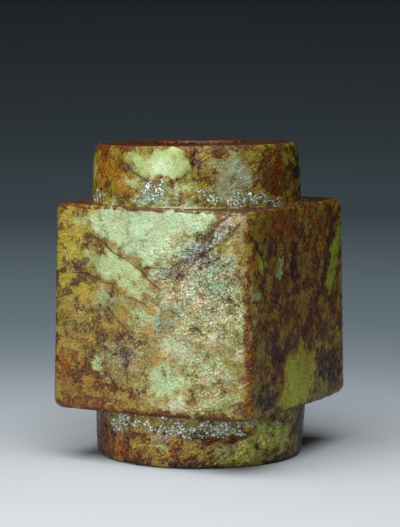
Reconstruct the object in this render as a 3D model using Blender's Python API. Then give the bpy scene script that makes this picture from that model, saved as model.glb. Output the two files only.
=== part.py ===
"""A plain jade cong: a square block with a round collar above and a round foot below, drilled from both ends.

Metres, +Z up. The origin is on the ground, under the middle of the body, whose faces look along X and Y.
"""

import math

import bmesh
import bpy
from mathutils import Vector

# Heights, from the ground up.
FOOT_HEIGHT = 0.0166
BODY_HEIGHT = 0.0664
COLLAR_HEIGHT = 0.019

# The square body. Its faces bow out a little in the middle, and lean out a little towards the lower edge.
BODY_SIDE = 0.0716
FACE_BOW = 0.0009
FACE_LEAN = 0.00045
CORNER_RADIUS = 0.0032
EDGE_RADIUS = 0.0018

# The eight corners are worn rounder than the edges between them. A higher power keeps the wear nearer to them.
CORNER_WEAR = 0.0016
CORNER_WEAR_POWER = 8

# The shoulders were cut by hand, and neither is quite level. A slope is the rise over the run along +X and +Y.
UPPER_SHOULDER_SLOPE = Vector((-0.011, 0.009))
LOWER_SHOULDER_SLOPE = Vector((0.0129, -0.006))

# The collar. Its side curves in towards the rim as part of a superellipse, and the rim is not quite level.
COLLAR_RADIUS = 0.0342
COLLAR_CROWN = 0.0031
COLLAR_FULLNESS = 3.0
COLLAR_OFFSET = Vector((-0.0016, -0.0009))
RIM_SLOPE = Vector((0.0085, 0.0046))

# The foot narrows a little from its joint with the body down to the ground.
FOOT_JOINT_RADIUS = 0.0349
FOOT_JOINT_OFFSET = Vector((-0.0003, -0.0002))
FOOT_RADIUS = 0.0341
FOOT_OFFSET = Vector((-0.0007, -0.0004))
FOOT_EDGE_RADIUS = 0.0013

# The bore tapers in from both mouths to a waist, where the two drillings meet.
BORE_RADIUS = 0.019
BORE_WAIST_RADIUS = 0.0176
MOUTH_EDGE_RADIUS = 0.001

# How finely the round stretches are stepped. COLUMNS is a multiple of 8, so that the faces stay alike.
COLUMNS = 96
FACE_SHARE = 0.75
CROWN_STEPS = 6
EDGE_STEPS = 4
FOOT_EDGE_STEPS = 3
MOUTH_STEPS = 3
BORE_STEPS = 3

# A collar that nearly reaches the body's face leaves this share of the gap flat, and the rest is rounded.
SHOULDER_SHARE = 0.15

LOWER_SHOULDER = FOOT_HEIGHT
UPPER_SHOULDER = LOWER_SHOULDER + BODY_HEIGHT
TOTAL_HEIGHT = UPPER_SHOULDER + COLLAR_HEIGHT

JADE_COLOUR = (0.34, 0.33, 0.13, 1.0)
JADE_ROUGHNESS = 0.35

# Faces that meet at more than this angle keep a crisp line between them, as where the body meets its collar.
SHARP_ANGLE = math.radians(40)


def clear_scene():
    for thing in list(bpy.data.objects):
        bpy.data.objects.remove(thing)


def lower_shoulder_height(spot):
    return LOWER_SHOULDER + LOWER_SHOULDER_SLOPE.dot(spot)


def upper_shoulder_height(spot):
    return UPPER_SHOULDER + UPPER_SHOULDER_SLOPE.dot(spot)


def rim_height(spot):
    return TOTAL_HEIGHT + RIM_SLOPE.dot(spot)


def on_circle(angle, radius, centre):
    """A point in plan on a circle."""
    return centre + radius * Vector((math.cos(angle), math.sin(angle)))


def on_square(angle, half_side, corner_radius):
    """A point in plan on the bowed square with rounded corners.

    The angle runs evenly round a circle. FACE_SHARE of it is spent on the faces and the rest on the corners.
    """
    face = round(angle / (math.pi / 2))
    turn = angle - face * math.pi / 2
    share = abs(turn) / (math.pi / 4)
    straight = half_side - corner_radius
    if share <= FACE_SHARE:
        along = straight * share / FACE_SHARE
        out = half_side + FACE_BOW * (1 - (share / FACE_SHARE) ** 2)
    else:
        bend = math.pi / 4 * (share - FACE_SHARE) / (1 - FACE_SHARE)
        along = straight + corner_radius * math.sin(bend)
        out = straight + corner_radius * math.cos(bend)
    along = math.copysign(along, turn)
    facing = face * math.pi / 2
    outward = Vector((math.cos(facing), math.sin(facing)))
    sideways = Vector((-math.sin(facing), math.cos(facing)))
    return outward * out + sideways * along


def cornerness(angle):
    """0 along the faces, rising to 1 at the corners."""
    return abs(math.sin(2 * angle)) ** CORNER_WEAR_POWER


def body_ring(upper, bend):
    """One ring of a body edge. The bend runs from 0, at the shoulder, to a quarter turn, at the face."""
    if upper:
        half_side, away = BODY_SIDE / 2 - FACE_LEAN, -1
        round_radius, centre, height_at = COLLAR_RADIUS, COLLAR_OFFSET, upper_shoulder_height
    else:
        half_side, away = BODY_SIDE / 2 + FACE_LEAN, 1
        round_radius, centre, height_at = FOOT_JOINT_RADIUS, FOOT_JOINT_OFFSET, lower_shoulder_height

    def place(angle):
        outline = on_square(angle, half_side, CORNER_RADIUS)
        gap = max(0.0, (outline - centre).length - round_radius)
        worn = EDGE_RADIUS + CORNER_WEAR * cornerness(angle)
        inset = min(worn, (1 - SHOULDER_SHARE) * gap) * (1 - math.sin(bend))
        spot = outline - outline.normalized() * inset
        return Vector((spot.x, spot.y, height_at(spot) + away * worn * (1 - math.cos(bend))))

    return place


def collar_ring(bend):
    """One ring of the collar's side. The bend runs from 0, on the shoulder, to a quarter turn, on the rim."""
    inset = COLLAR_CROWN * (1 - abs(math.cos(bend)) ** (2 / COLLAR_FULLNESS))
    height_share = math.sin(bend) ** (2 / COLLAR_FULLNESS)

    def place(angle):
        spot = on_circle(angle, COLLAR_RADIUS - inset, COLLAR_OFFSET)
        low = upper_shoulder_height(spot)
        return Vector((spot.x, spot.y, low + (rim_height(spot) - low) * height_share))

    return place


def foot_joint_ring():
    """The ring where the foot meets the lower shoulder."""

    def place(angle):
        spot = on_circle(angle, FOOT_JOINT_RADIUS, FOOT_JOINT_OFFSET)
        return Vector((spot.x, spot.y, lower_shoulder_height(spot)))

    return place


def foot_edge_ring(bend):
    """One ring of the foot's lower edge. The bend runs from 0, on its side, to a quarter turn, underneath."""

    def place(angle):
        spot = on_circle(angle, FOOT_RADIUS - FOOT_EDGE_RADIUS * (1 - math.cos(bend)), FOOT_OFFSET)
        return Vector((spot.x, spot.y, FOOT_EDGE_RADIUS * (1 - math.sin(bend))))

    return place


def mouth_ring(upper, bend):
    """One ring of a bore mouth's edge. The bend runs from 0, in the bore, to a quarter turn, at the end."""
    centre = COLLAR_OFFSET if upper else FOOT_OFFSET

    def place(angle):
        spot = on_circle(angle, BORE_RADIUS + MOUTH_EDGE_RADIUS * (1 - math.cos(bend)), centre)
        depth = MOUTH_EDGE_RADIUS * (1 - math.sin(bend))
        return Vector((spot.x, spot.y, rim_height(spot) - depth if upper else depth))

    return place


def bore_ring(height_share):
    """One ring inside the bore, at a share of its length from the lower mouth's edge to the upper one's."""
    centre = FOOT_OFFSET.lerp(COLLAR_OFFSET, height_share)
    widening = abs(2 * height_share - 1)

    def place(angle):
        radius = BORE_WAIST_RADIUS + (BORE_RADIUS - BORE_WAIST_RADIUS) * widening
        spot = on_circle(angle, radius, centre)
        low = MOUTH_EDGE_RADIUS
        high = rim_height(spot) - MOUTH_EDGE_RADIUS
        return Vector((spot.x, spot.y, low + (high - low) * height_share))

    return place


def quarter_turns(steps):
    """Bends from 0 to a quarter turn."""
    return [math.pi / 2 * step / steps for step in range(steps + 1)]


def section_rings():
    """The rings of the whole section, down the outside from the rim and back up the bore."""
    rings = [mouth_ring(True, bend) for bend in quarter_turns(MOUTH_STEPS)]
    rings += [collar_ring(bend) for bend in reversed(quarter_turns(CROWN_STEPS))]
    rings += [body_ring(True, bend) for bend in quarter_turns(EDGE_STEPS)]
    rings += [body_ring(False, bend) for bend in reversed(quarter_turns(EDGE_STEPS))]
    rings += [foot_joint_ring()]
    rings += [foot_edge_ring(bend) for bend in quarter_turns(FOOT_EDGE_STEPS)]
    rings += [mouth_ring(False, bend) for bend in reversed(quarter_turns(MOUTH_STEPS))]
    rings += [bore_ring(step / (2 * BORE_STEPS)) for step in range(1, 2 * BORE_STEPS)]
    return rings


def turned_and_squared(rings):
    """Turns the section round the axis as a lathe would, then moves each vertex to its place on its ring."""
    shape = bmesh.new()
    ring_number = shape.verts.layers.int.new("ring")
    section = []
    for number, place in enumerate(rings):
        vertex = shape.verts.new(place(0.0))
        vertex[ring_number] = number
        section.append(vertex)
    edges = [shape.edges.new((section[i - 1], section[i])) for i in range(len(section))]
    bmesh.ops.spin(
        shape,
        geom=section + edges,
        cent=(0, 0, 0),
        axis=(0, 0, 1),
        angle=2 * math.pi,
        steps=COLUMNS,
        use_merge=True,
    )
    start = {number: math.atan2(place(0.0).y, place(0.0).x) for number, place in enumerate(rings)}
    step = 2 * math.pi / COLUMNS
    for vertex in shape.verts:
        number = vertex[ring_number]
        turned = math.atan2(vertex.co.y, vertex.co.x) - start[number]
        vertex.co = rings[number](round(turned / step) * step)
    bmesh.ops.recalc_face_normals(shape, faces=shape.faces)
    return shape


def jade():
    material = bpy.data.materials.new("jade")
    material.use_nodes = True
    shader = material.node_tree.nodes["Principled BSDF"]
    shader.inputs["Base Color"].default_value = JADE_COLOUR
    shader.inputs["Roughness"].default_value = JADE_ROUGHNESS
    shader.inputs["Metallic"].default_value = 0.0
    return material


def make_cong():
    shape = turned_and_squared(section_rings())
    mesh = bpy.data.meshes.new("cong")
    shape.to_mesh(mesh)
    shape.free()
    mesh.shade_smooth()
    mesh.set_sharp_from_angle(angle=SHARP_ANGLE)
    cong = bpy.data.objects.new("cong", mesh)
    mesh.materials.append(jade())
    bpy.context.scene.collection.objects.link(cong)
    return cong


clear_scene()
make_cong()
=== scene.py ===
# %% [markdown]
# # A plain jade cong
#
# A cong is a squared tube of jade. This one is plain: a square block with soft edges, a round collar above,
# a round foot below and a bore right through. The imported solid gives its true sizes. This script dresses
# that solid as the real stone: hand-ground faces, clouds of pale green and mustard, rust at the edges, dark
# veins, pitted bands and a crust of earth salts where the round ends meet the body.
#
# The solid is loaded first, and its box is noted, so that the dressed stone can be kept inside it.

import math
import random

import bmesh
import bpy
import numpy as np
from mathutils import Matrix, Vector, noise
from mathutils.bvhtree import BVHTree


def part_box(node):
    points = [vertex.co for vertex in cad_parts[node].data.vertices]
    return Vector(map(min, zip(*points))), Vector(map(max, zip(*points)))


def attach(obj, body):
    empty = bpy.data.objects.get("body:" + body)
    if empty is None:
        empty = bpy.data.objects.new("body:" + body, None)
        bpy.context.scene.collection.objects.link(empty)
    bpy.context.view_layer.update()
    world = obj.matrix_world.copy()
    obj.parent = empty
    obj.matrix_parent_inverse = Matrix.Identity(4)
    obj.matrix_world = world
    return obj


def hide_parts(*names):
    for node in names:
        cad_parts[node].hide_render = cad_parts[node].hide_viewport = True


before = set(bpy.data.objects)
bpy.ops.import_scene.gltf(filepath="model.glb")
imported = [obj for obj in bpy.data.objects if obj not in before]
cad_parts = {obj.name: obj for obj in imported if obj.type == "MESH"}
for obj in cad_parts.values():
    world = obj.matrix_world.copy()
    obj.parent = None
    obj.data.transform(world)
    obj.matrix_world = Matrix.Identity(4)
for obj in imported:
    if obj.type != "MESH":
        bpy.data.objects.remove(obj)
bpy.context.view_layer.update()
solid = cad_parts["cong"]
low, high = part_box("cong")
MM = 0.001
print("solid, mm:", [round(side / MM, 1) for side in high - low])

# %% [markdown]
# ## The camera
#
# The photographer stood a little to the right of the broad lit face and looked slightly down, with a long
# lens. The bearing is counted from straight in front of that face towards the darker face on its right. A
# long lens far away keeps the upright edges nearly parallel, as they are on a good record photograph.

# %% The camera
CAMERA_BEARING = math.radians(28.27)
CAMERA_DISTANCE = 0.6244
CAMERA_HEIGHT = 0.1229
AIM_HEIGHT = 0.062
AIM_RIGHT = 0.0003
LENS = 130.0
SENSOR_WIDTH = 36.0
CAMERA_AXIS = Vector((-0.00086, -0.00046, 0.0))


def make_camera():
    outward = Vector((math.sin(CAMERA_BEARING), -math.cos(CAMERA_BEARING), 0.0))
    rightward = Vector((math.cos(CAMERA_BEARING), math.sin(CAMERA_BEARING), 0.0))
    data = bpy.data.cameras.new("camera")
    data.lens = LENS
    data.sensor_width = SENSOR_WIDTH
    camera = bpy.data.objects.new("camera", data)
    camera.location = CAMERA_AXIS + outward * CAMERA_DISTANCE + Vector((0.0, 0.0, CAMERA_HEIGHT))
    aim = CAMERA_AXIS + rightward * AIM_RIGHT + Vector((0.0, 0.0, AIM_HEIGHT))
    camera.rotation_euler = (aim - camera.location).to_track_quat("-Z", "Y").to_euler()
    bpy.context.scene.collection.objects.link(camera)
    bpy.context.scene.camera = camera
    return camera


camera = make_camera()
print("camera at, m:", [round(value, 3) for value in camera.location])

# %% [markdown]
# ## Floor and light
#
# A sweep of graduated paper is floor and backdrop in one: pale under the stone, slate far behind it. It
# runs back flat and then curves up. Its sides are painted dark, a painted shade that throws no glow on the
# stone's dark face. A low soft box stands in front, a little to the left. It lights the front face squarely
# and misses the right one. A wide box overhead lights the floor, the shoulders and the rim. A faint box on
# the right keeps the darker face readable, and a weak sky fills the shadows.

# %% Node helpers


class Wiring:
    """Makes nodes in one material, and joins what it is given to their inputs."""

    def __init__(self, tree):
        self.tree = tree

    def node(self, kind, inputs=(), **settings):
        made = self.tree.nodes.new("ShaderNode" + kind)
        for name, value in settings.items():
            setattr(made, name, value)
        for slot, value in dict(inputs).items():
            self.put(made.inputs[slot], value)
        return made

    def put(self, socket, value):
        if isinstance(value, bpy.types.NodeSocket):
            self.tree.links.new(value, socket)
        else:
            socket.default_value = value

    def number(self, layer):
        return self.node("Attribute", attribute_name=layer).outputs["Fac"]

    def tone(self, layer):
        return self.node("Attribute", attribute_name=layer).outputs["Color"]

    def sum(self, operation, first, second=0.0, third=0.0):
        return self.node("Math", {0: first, 1: second, 2: third}, operation=operation).outputs[0]

    def times(self, first, second):
        return self.sum("MULTIPLY", first, second)

    def more(self, base, value, share):
        """A share of a value on top of a base."""
        return self.sum("MULTIPLY_ADD", value, share, base)

    def inverse(self, value):
        return self.sum("SUBTRACT", 1.0, value)

    def off_middle(self, value):
        """How far a noise is from its middle, which is 0 along thin curved lines."""
        return self.sum("ABSOLUTE", self.sum("SUBTRACT", value, 0.5))

    def grain(self, place, grains_a_metre, detail, roughness=0.6, distortion=0.0):
        settings = {"Vector": place, "Scale": grains_a_metre, "Detail": detail, "Roughness": roughness,
                    "Distortion": distortion}
        return self.node("TexNoise", settings).outputs["Fac"]

    def blend(self, share, first, second):
        made = self.node("Mix", {0: share, 2: first, 3: second}, data_type="FLOAT")
        return made.outputs[0]

    def step(self, value, start, end):
        """0 up to the start, 1 from the end, and an S-curve between."""
        settings = {"Value": value, "From Min": start, "From Max": end}
        return self.node("MapRange", settings, interpolation_type="SMOOTHSTEP").outputs["Result"]

    def mix(self, share, first, second, blend="MIX"):
        made = self.node("Mix", {0: share, 6: first, 7: second}, data_type="RGBA", blend_type=blend)
        return made.outputs[2]


print("node helpers ready")

# %% The paper sweep
SWEEP_FRONT = -1.2
SWEEP_BACK = 1.1
SWEEP_HALF_WIDTH = 2.0
SWEEP_RADIUS = 0.7
SWEEP_TOP = 2.2
SWEEP_STEPS = 24
PAPER_LENGTH = (-0.2, 2.3)
PAPER_RISE = 3.0
PAPER_SIDES = (0.11, 0.26)
PAPER_SIDE_SHADE = 0.1
PAPER_SPREAD = 0.2
PAPER_ROUGHNESS = 0.9
PAPER_SHINE = 0.1
PAPER_TONES = {
    -0.1: (0.44, 0.46, 0.48, 1.0),
    0.05: (0.31, 0.34, 0.37, 1.0),
    0.2: (0.15, 0.19, 0.21, 1.0),
    0.4: (0.12, 0.16, 0.18, 1.0),
    1.1: (0.20, 0.28, 0.33, 1.0),
    1.5: (0.11, 0.14, 0.16, 1.0),
    2.2: (0.04, 0.06, 0.07, 1.0),
}


def make_paper():
    """Paper graduated along its own length, with painted shade at its sides. Its rise counts more than its
    run.
    """
    material = bpy.data.materials.new("paper")
    material.use_nodes = True
    wire = Wiring(material.node_tree)
    place = wire.node("TexCoord").outputs["Object"]
    axes = wire.node("SeparateXYZ", {0: place}).outputs
    start, end = PAPER_LENGTH
    length = {"Value": wire.more(axes["Y"], axes["Z"], PAPER_RISE), "From Min": start, "From Max": end}
    tones = wire.node("ValToRGB", {"Fac": wire.node("MapRange", length).outputs["Result"]})
    ramp = tones.color_ramp
    ramp.elements.remove(ramp.elements[1])
    ramp.interpolation = "B_SPLINE"
    for distance, tone in PAPER_TONES.items():
        ramp.elements.new((distance - start) / (end - start)).color = tone
    ramp.elements.remove(ramp.elements[0])
    # The paper's sides are painted dark: painted shade, as from flags beside the stone.
    beside = wire.more(wire.sum("ABSOLUTE", axes["X"]), axes["Y"], -PAPER_SPREAD)
    sides = {"Value": beside, "From Min": PAPER_SIDES[0], "From Max": PAPER_SIDES[1],
             "To Min": 1.0, "To Max": PAPER_SIDE_SHADE}
    shade = wire.node("MapRange", sides, interpolation_type="SMOOTHSTEP").outputs["Result"]
    shaded = wire.node("VectorMath", {0: tones.outputs["Color"], "Scale": shade}, operation="SCALE")
    shader = material.node_tree.nodes["Principled BSDF"]
    wire.put(shader.inputs["Base Color"], shaded.outputs["Vector"])
    shader.inputs["Roughness"].default_value = PAPER_ROUGHNESS
    shader.inputs["Specular IOR Level"].default_value = PAPER_SHINE
    return material


def make_sweep():
    """A strip drawn along the sweep's middle line and pulled sideways."""
    line = [(SWEEP_FRONT, 0.0), (SWEEP_BACK, 0.0)]
    for step in range(1, SWEEP_STEPS + 1):
        bend = math.pi / 2 * step / SWEEP_STEPS
        line.append((SWEEP_BACK + SWEEP_RADIUS * math.sin(bend), SWEEP_RADIUS * (1 - math.cos(bend))))
    line.append((SWEEP_BACK + SWEEP_RADIUS, SWEEP_TOP))
    paper = bmesh.new()
    row = [paper.verts.new((-SWEEP_HALF_WIDTH, y, z)) for y, z in line]
    edges = [paper.edges.new(pair) for pair in zip(row, row[1:])]
    pulled = bmesh.ops.extrude_edge_only(paper, edges=edges)
    moved = [item for item in pulled["geom"] if isinstance(item, bmesh.types.BMVert)]
    bmesh.ops.translate(paper, verts=moved, vec=(2 * SWEEP_HALF_WIDTH, 0.0, 0.0))
    bmesh.ops.recalc_face_normals(paper, faces=paper.faces)
    mesh = bpy.data.meshes.new("sweep")
    paper.to_mesh(mesh)
    paper.free()
    mesh.shade_smooth()
    mesh.materials.append(make_paper())
    sweep = bpy.data.objects.new("sweep", mesh)
    sweep.rotation_euler = (0.0, 0.0, CAMERA_BEARING)
    bpy.context.scene.collection.objects.link(sweep)
    return sweep


make_sweep()
print("paper runs back, m:", SWEEP_BACK + SWEEP_RADIUS)

# %% Light and sky
KEY_BEARING = math.radians(-11.0)
KEY_DISTANCE = 0.85
KEY_HEIGHT = 0.17
KEY_SIZE = (0.45, 0.26)
KEY_WATTS = 4.6
TOP_BEARING = math.radians(12.0)
TOP_DISTANCE = 0.24
TOP_HEIGHT = 0.75
TOP_SIZE = (0.8, 0.6)
TOP_WATTS = 11.0
SIDE_BEARING = math.radians(85.0)
SIDE_DISTANCE = 0.8
SIDE_HEIGHT = 0.3
SIDE_SIZE = (0.25, 0.35)
SIDE_WATTS = 0.1
SKY = (0.70, 0.68, 0.60, 1.0)
SKY_STRENGTH = 0.06


def make_light(name, bearing, distance, height, size, watts):
    """A soft box that looks at the middle of the stone."""
    data = bpy.data.lights.new(name, "AREA")
    data.shape = "RECTANGLE"
    data.size, data.size_y = size
    data.energy = watts
    light = bpy.data.objects.new(name, data)
    outward = Vector((math.sin(bearing), -math.cos(bearing), 0.0))
    light.location = outward * distance + Vector((0.0, 0.0, height))
    middle = Vector((0.0, 0.0, (low.z + high.z) / 2))
    light.rotation_euler = (middle - light.location).to_track_quat("-Z", "Y").to_euler()
    bpy.context.scene.collection.objects.link(light)
    return light


def make_sky():
    sky = bpy.data.worlds.new("sky")
    sky.use_nodes = True
    background = sky.node_tree.nodes["Background"]
    background.inputs["Color"].default_value = SKY
    background.inputs["Strength"].default_value = SKY_STRENGTH
    bpy.context.scene.world = sky


make_light("key", KEY_BEARING, KEY_DISTANCE, KEY_HEIGHT, KEY_SIZE, KEY_WATTS)
make_light("top", TOP_BEARING, TOP_DISTANCE, TOP_HEIGHT, TOP_SIZE, TOP_WATTS)
make_light("side", SIDE_BEARING, SIDE_DISTANCE, SIDE_HEIGHT, SIDE_SIZE, SIDE_WATTS)
make_sky()
bpy.context.scene.view_settings.view_transform = "Standard"
print("lights, watts:", KEY_WATTS, TOP_WATTS, SIDE_WATTS)

# %% [markdown]
# ## Measuring the solid
#
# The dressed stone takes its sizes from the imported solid, as a carver would take them with calipers. A
# probe is a ray that stops where it meets the solid. Four probes at one height give the middle and radius
# of a round part, and four probes from above give the slope of a shoulder that was never quite level.

# %% Calipers
corners = [vertex.co.copy() for vertex in solid.data.vertices]
triangles = [polygon.vertices[:] for polygon in solid.data.polygons]
skin = BVHTree.FromPolygons(corners, triangles)
WAYS = [Vector((1, 0, 0)), Vector((-1, 0, 0)), Vector((0, 1, 0)), Vector((0, -1, 0))]
DIAGONALS = [Vector((x, y, 0)).normalized() for x in (-1, 1) for y in (-1, 1)]
UP = Vector((0, 0, 1))
FAR = (high - low).length


def probe(start, way):
    """Where a probe from the start meets the solid."""
    return skin.ray_cast(start, way)[0]


def round_at(height, inside=False):
    """Middle and radius of the round outline at a height, or of the bore."""
    middle = Vector((0, 0, height))
    for _ in range(2):
        if inside:
            met = [probe(middle, way) for way in WAYS]
        else:
            met = [probe(middle + way * FAR, -way) for way in WAYS]
        middle = Vector(((met[0].x + met[1].x) / 2, (met[2].y + met[3].y) / 2, height))
    return np.array(middle.xy), (met[0].x - met[1].x) / 2


def level_at(reach, downward):
    """The plane through four probes: its height over the origin, and its slope along X and Y."""
    way = -UP if downward else UP
    met = [probe(side * reach - way * FAR, way) for side in DIAGONALS]
    rows = np.array([(1, spot.x, spot.y) for spot in met])
    height, slope_x, slope_y = np.linalg.lstsq(rows, np.array([spot.z for spot in met]), rcond=None)[0]
    return height, np.array((slope_x, slope_y))


SHOULDER_REACH = 41 * MM
RIM_REACH = 26 * MM
upper_shoulder = level_at(SHOULDER_REACH, downward=True)
lower_shoulder = level_at(SHOULDER_REACH, downward=False)
rim = level_at(RIM_REACH, downward=True)
print("shoulders and rim, mm:", [round(plane[0] / MM, 2) for plane in (lower_shoulder, upper_shoulder, rim)])

# %% Round parts and the square body
CLEAR = 1.5 * MM
collar_middle, collar_radius = round_at(upper_shoulder[0] + CLEAR)
foot_top_middle, foot_top_radius = round_at(lower_shoulder[0] - CLEAR)
foot_middle, foot_radius = round_at(CLEAR)
mouth_middle, mouth_radius = round_at(rim[0] - CLEAR, inside=True)
lower_mouth_middle, _ = round_at(CLEAR, inside=True)
waist_middle, waist_radius = round_at(rim[0] / 2, inside=True)


def half_side_at(height, along):
    """How far out the front face is at a height, at a distance along it from its middle."""
    return -probe(Vector((along, -FAR, height)), Vector((0, 1, 0))).y


EDGE_OF_FACE = 32 * MM
EDGE_ROUNDING = 1.8 * MM
lower_half = half_side_at(lower_shoulder[0] + 2 * EDGE_ROUNDING, EDGE_OF_FACE)
upper_half = half_side_at(upper_shoulder[0] - 2 * EDGE_ROUNDING, EDGE_OF_FACE)
half_side = (lower_half + upper_half) / 2
bow = half_side_at(rim[0] / 2, 0.0) - half_side
print("collar, foot, bore and waist radius, mm:",
      [round(radius / MM, 2) for radius in (collar_radius, foot_radius, mouth_radius, waist_radius)])
print("half side low and high, and bow, mm:",
      [round(size / MM, 2) for size in (lower_half, upper_half, bow)])

# %% [markdown]
# ## The block, turned and squared
#
# A lathe shape would come from spinning one section, but this body is round above, square in the middle and
# round below. So the section is spun into a dense round tube first, and then each ring of it is pushed to
# its own outline: a circle, or a square with rounded corners. It stays one closed skin with an even grain
# of small faces, fine enough to be carved by moving its points. Each ring below is an array with one place
# for every column.

# %% Outlines
COLUMNS = 416
FACE_SHARE = 0.865
CORNER_RADIUS = 3.2 * MM
CORNER_WEAR = 1.6 * MM
CORNER_WEAR_POWER = 8
SHOULDER_SHARE = 0.15
turn = np.arange(COLUMNS) * (2 * math.pi / COLUMNS)
compass = np.stack([np.cos(turn), np.sin(turn)], axis=1)


def on_circle(radius, middle):
    return middle + radius * compass


def on_square(half):
    """The bowed square with rounded corners, in plan. Most columns go to the faces."""
    face = np.round(turn / (math.pi / 2))
    share = (turn - face * math.pi / 2) / (math.pi / 4)
    straight = half - CORNER_RADIUS
    flat = np.clip(np.abs(share) / FACE_SHARE, 0, 1)
    bend = math.pi / 4 * np.clip((np.abs(share) - FACE_SHARE) / (1 - FACE_SHARE), 0, 1)
    along = np.sign(share) * (straight * flat + CORNER_RADIUS * np.sin(bend))
    out = straight + CORNER_RADIUS * np.cos(bend) + bow * (1 - flat ** 2)
    looking = face * math.pi / 2
    return np.stack([np.cos(looking) * out - np.sin(looking) * along,
                     np.sin(looking) * out + np.cos(looking) * along], axis=1)


def over(plane, plan):
    """Heights of a plane over places in plan."""
    return plane[0] + plan @ plane[1]


def ring(plan, heights):
    return np.column_stack([plan, np.broadcast_to(heights, len(plan))])


def between(first, last, steps):
    """Rings from the first, left out, to the last, spaced evenly on straight lines."""
    return [first + (last - first) * step / steps for step in range(1, steps + 1)]


print("columns round the block:", COLUMNS)

# %% Rounded edges
COLLAR_CROWN = 3.1 * MM
COLLAR_FULLNESS = 3.0
FOOT_EDGE_ROUNDING = 1.3 * MM
MOUTH_ROUNDING = 1.0 * MM
CURVE_POINTS = 400


def quarter_bends(steps):
    return np.linspace(0, math.pi / 2, steps + 1)


def body_edge(upper, steps):
    """The rings that round off a body edge, from the shoulder out to the face."""
    half, plane, away = (upper_half, upper_shoulder, -1) if upper else (lower_half, lower_shoulder, 1)
    middle, radius = (collar_middle, collar_radius) if upper else (foot_top_middle, foot_top_radius)
    outline = on_square(half)
    outward = outline / np.linalg.norm(outline, axis=1, keepdims=True)
    gap = np.maximum(0, np.linalg.norm(outline - middle, axis=1) - radius)
    worn = EDGE_ROUNDING + CORNER_WEAR * np.abs(np.sin(2 * turn)) ** CORNER_WEAR_POWER
    inset = np.minimum(worn, (1 - SHOULDER_SHARE) * gap)
    edge = []
    for bend in quarter_bends(steps):
        plan = outline - outward * (inset * (1 - math.sin(bend)))[:, None]
        edge.append(ring(plan, over(plane, plan) + away * worn * (1 - math.cos(bend))))
    return edge


def collar_side(steps):
    """The collar's rings from the rim down to the shoulder, spaced evenly along a side that curves in."""
    bend = np.linspace(math.pi / 2, 0, CURVE_POINTS)
    inset = COLLAR_CROWN * (1 - np.abs(np.cos(bend)) ** (2 / COLLAR_FULLNESS))
    share = np.abs(np.sin(bend)) ** (2 / COLLAR_FULLNESS)
    height = share * (rim[0] - upper_shoulder[0])
    run = np.concatenate([[0], np.cumsum(np.hypot(np.diff(inset), np.diff(height)))])
    even = np.linspace(0, run[-1], steps + 1)
    side = []
    for one_inset, one_share in zip(np.interp(even, run, inset), np.interp(even, run, share)):
        plan = on_circle(collar_radius - one_inset, collar_middle)
        bottom = over(upper_shoulder, plan)
        side.append(ring(plan, bottom + (over(rim, plan) - bottom) * one_share))
    return side


def foot_edge(steps):
    edge = []
    for bend in quarter_bends(steps):
        plan = on_circle(foot_radius - FOOT_EDGE_ROUNDING * (1 - math.cos(bend)), foot_middle)
        edge.append(ring(plan, FOOT_EDGE_ROUNDING * (1 - math.sin(bend))))
    return edge


def mouth(upper, steps):
    """The rings that round off a mouth of the bore, from the bore out to the end face."""
    middle = mouth_middle if upper else lower_mouth_middle
    edge = []
    for bend in quarter_bends(steps):
        plan = on_circle(mouth_radius + MOUTH_ROUNDING * (1 - math.cos(bend)), middle)
        depth = MOUTH_ROUNDING * (1 - math.sin(bend))
        edge.append(ring(plan, over(rim, plan) - depth if upper else depth))
    return edge


print("rim land, mm:", round((collar_radius - COLLAR_CROWN - mouth_radius - MOUTH_ROUNDING) / MM, 1))

# %% The whole section, ring by ring
rings = []
zones = []


def add(zone, more):
    rings.extend(more)
    zones.extend([zone] * len(more))


add("mouth", mouth(True, 4))
collar = collar_side(34)
add("rim", between(rings[-1], collar[0], 8))
add("collar", collar[1:])
upper_edge = body_edge(True, 6)
add("shoulder", between(rings[-1], upper_edge[0], 9))
add("face", upper_edge[1:])
lower_edge = body_edge(False, 6)
add("face", between(rings[-1], lower_edge[-1], 96))
add("face", lower_edge[-2::-1])
foot_top_plan = on_circle(foot_top_radius, foot_top_middle)
add("under", between(rings[-1], ring(foot_top_plan, over(lower_shoulder, foot_top_plan)), 6))
ground_edge = foot_edge(4)
add("foot", between(rings[-1], ground_edge[0], 24))
add("foot", ground_edge[1:])
lower_mouth = mouth(False, 3)
add("base", between(rings[-1], lower_mouth[-1], 4))
add("mouth", lower_mouth[-2::-1])
waist = ring(on_circle(waist_radius, waist_middle), rim[0] / 2)
add("bore", between(rings[-1], waist, 9))
add("bore", between(rings[-1], rings[0], 9)[:-1])
rings = np.array(rings)
print("rings:", len(rings), "triangles:", 2 * len(rings) * COLUMNS)

# %% Spin the section and square it


def turn_and_square():
    shape = bmesh.new()
    ring_layer = shape.verts.layers.int.new("ring")
    section = []
    for number in range(len(rings)):
        vertex = shape.verts.new(rings[number, 0])
        vertex[ring_layer] = number
        section.append(vertex)
    edges = [shape.edges.new((section[i - 1], section[i])) for i in range(len(section))]
    bmesh.ops.spin(shape, geom=section + edges, cent=(0, 0, 0), axis=(0, 0, 1), angle=2 * math.pi,
                   steps=COLUMNS, use_merge=True)
    start = np.arctan2(rings[:, 0, 1], rings[:, 0, 0])
    for vertex in shape.verts:
        number = vertex[ring_layer]
        turned = math.atan2(vertex.co.y, vertex.co.x) - start[number]
        vertex.co = rings[number, round(turned / turn[1]) % COLUMNS]
    bmesh.ops.recalc_face_normals(shape, faces=shape.faces)
    mesh = bpy.data.meshes.new("jade cong")
    shape.to_mesh(mesh)
    shape.free()
    mesh.shade_smooth()
    return mesh


mesh = turn_and_square()
print("points in the block:", len(mesh.vertices))

# %% [markdown]
# ## Reading the stone
#
# Everything that follows is worked out point by point: where each point lies, which way the stone faces
# there, and soft noise at several sizes. The noise bends the outlines of clouds and stains, because nothing
# that grew in rock has a drawn edge. It comes from each point's place, so it is the same on every run.

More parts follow.
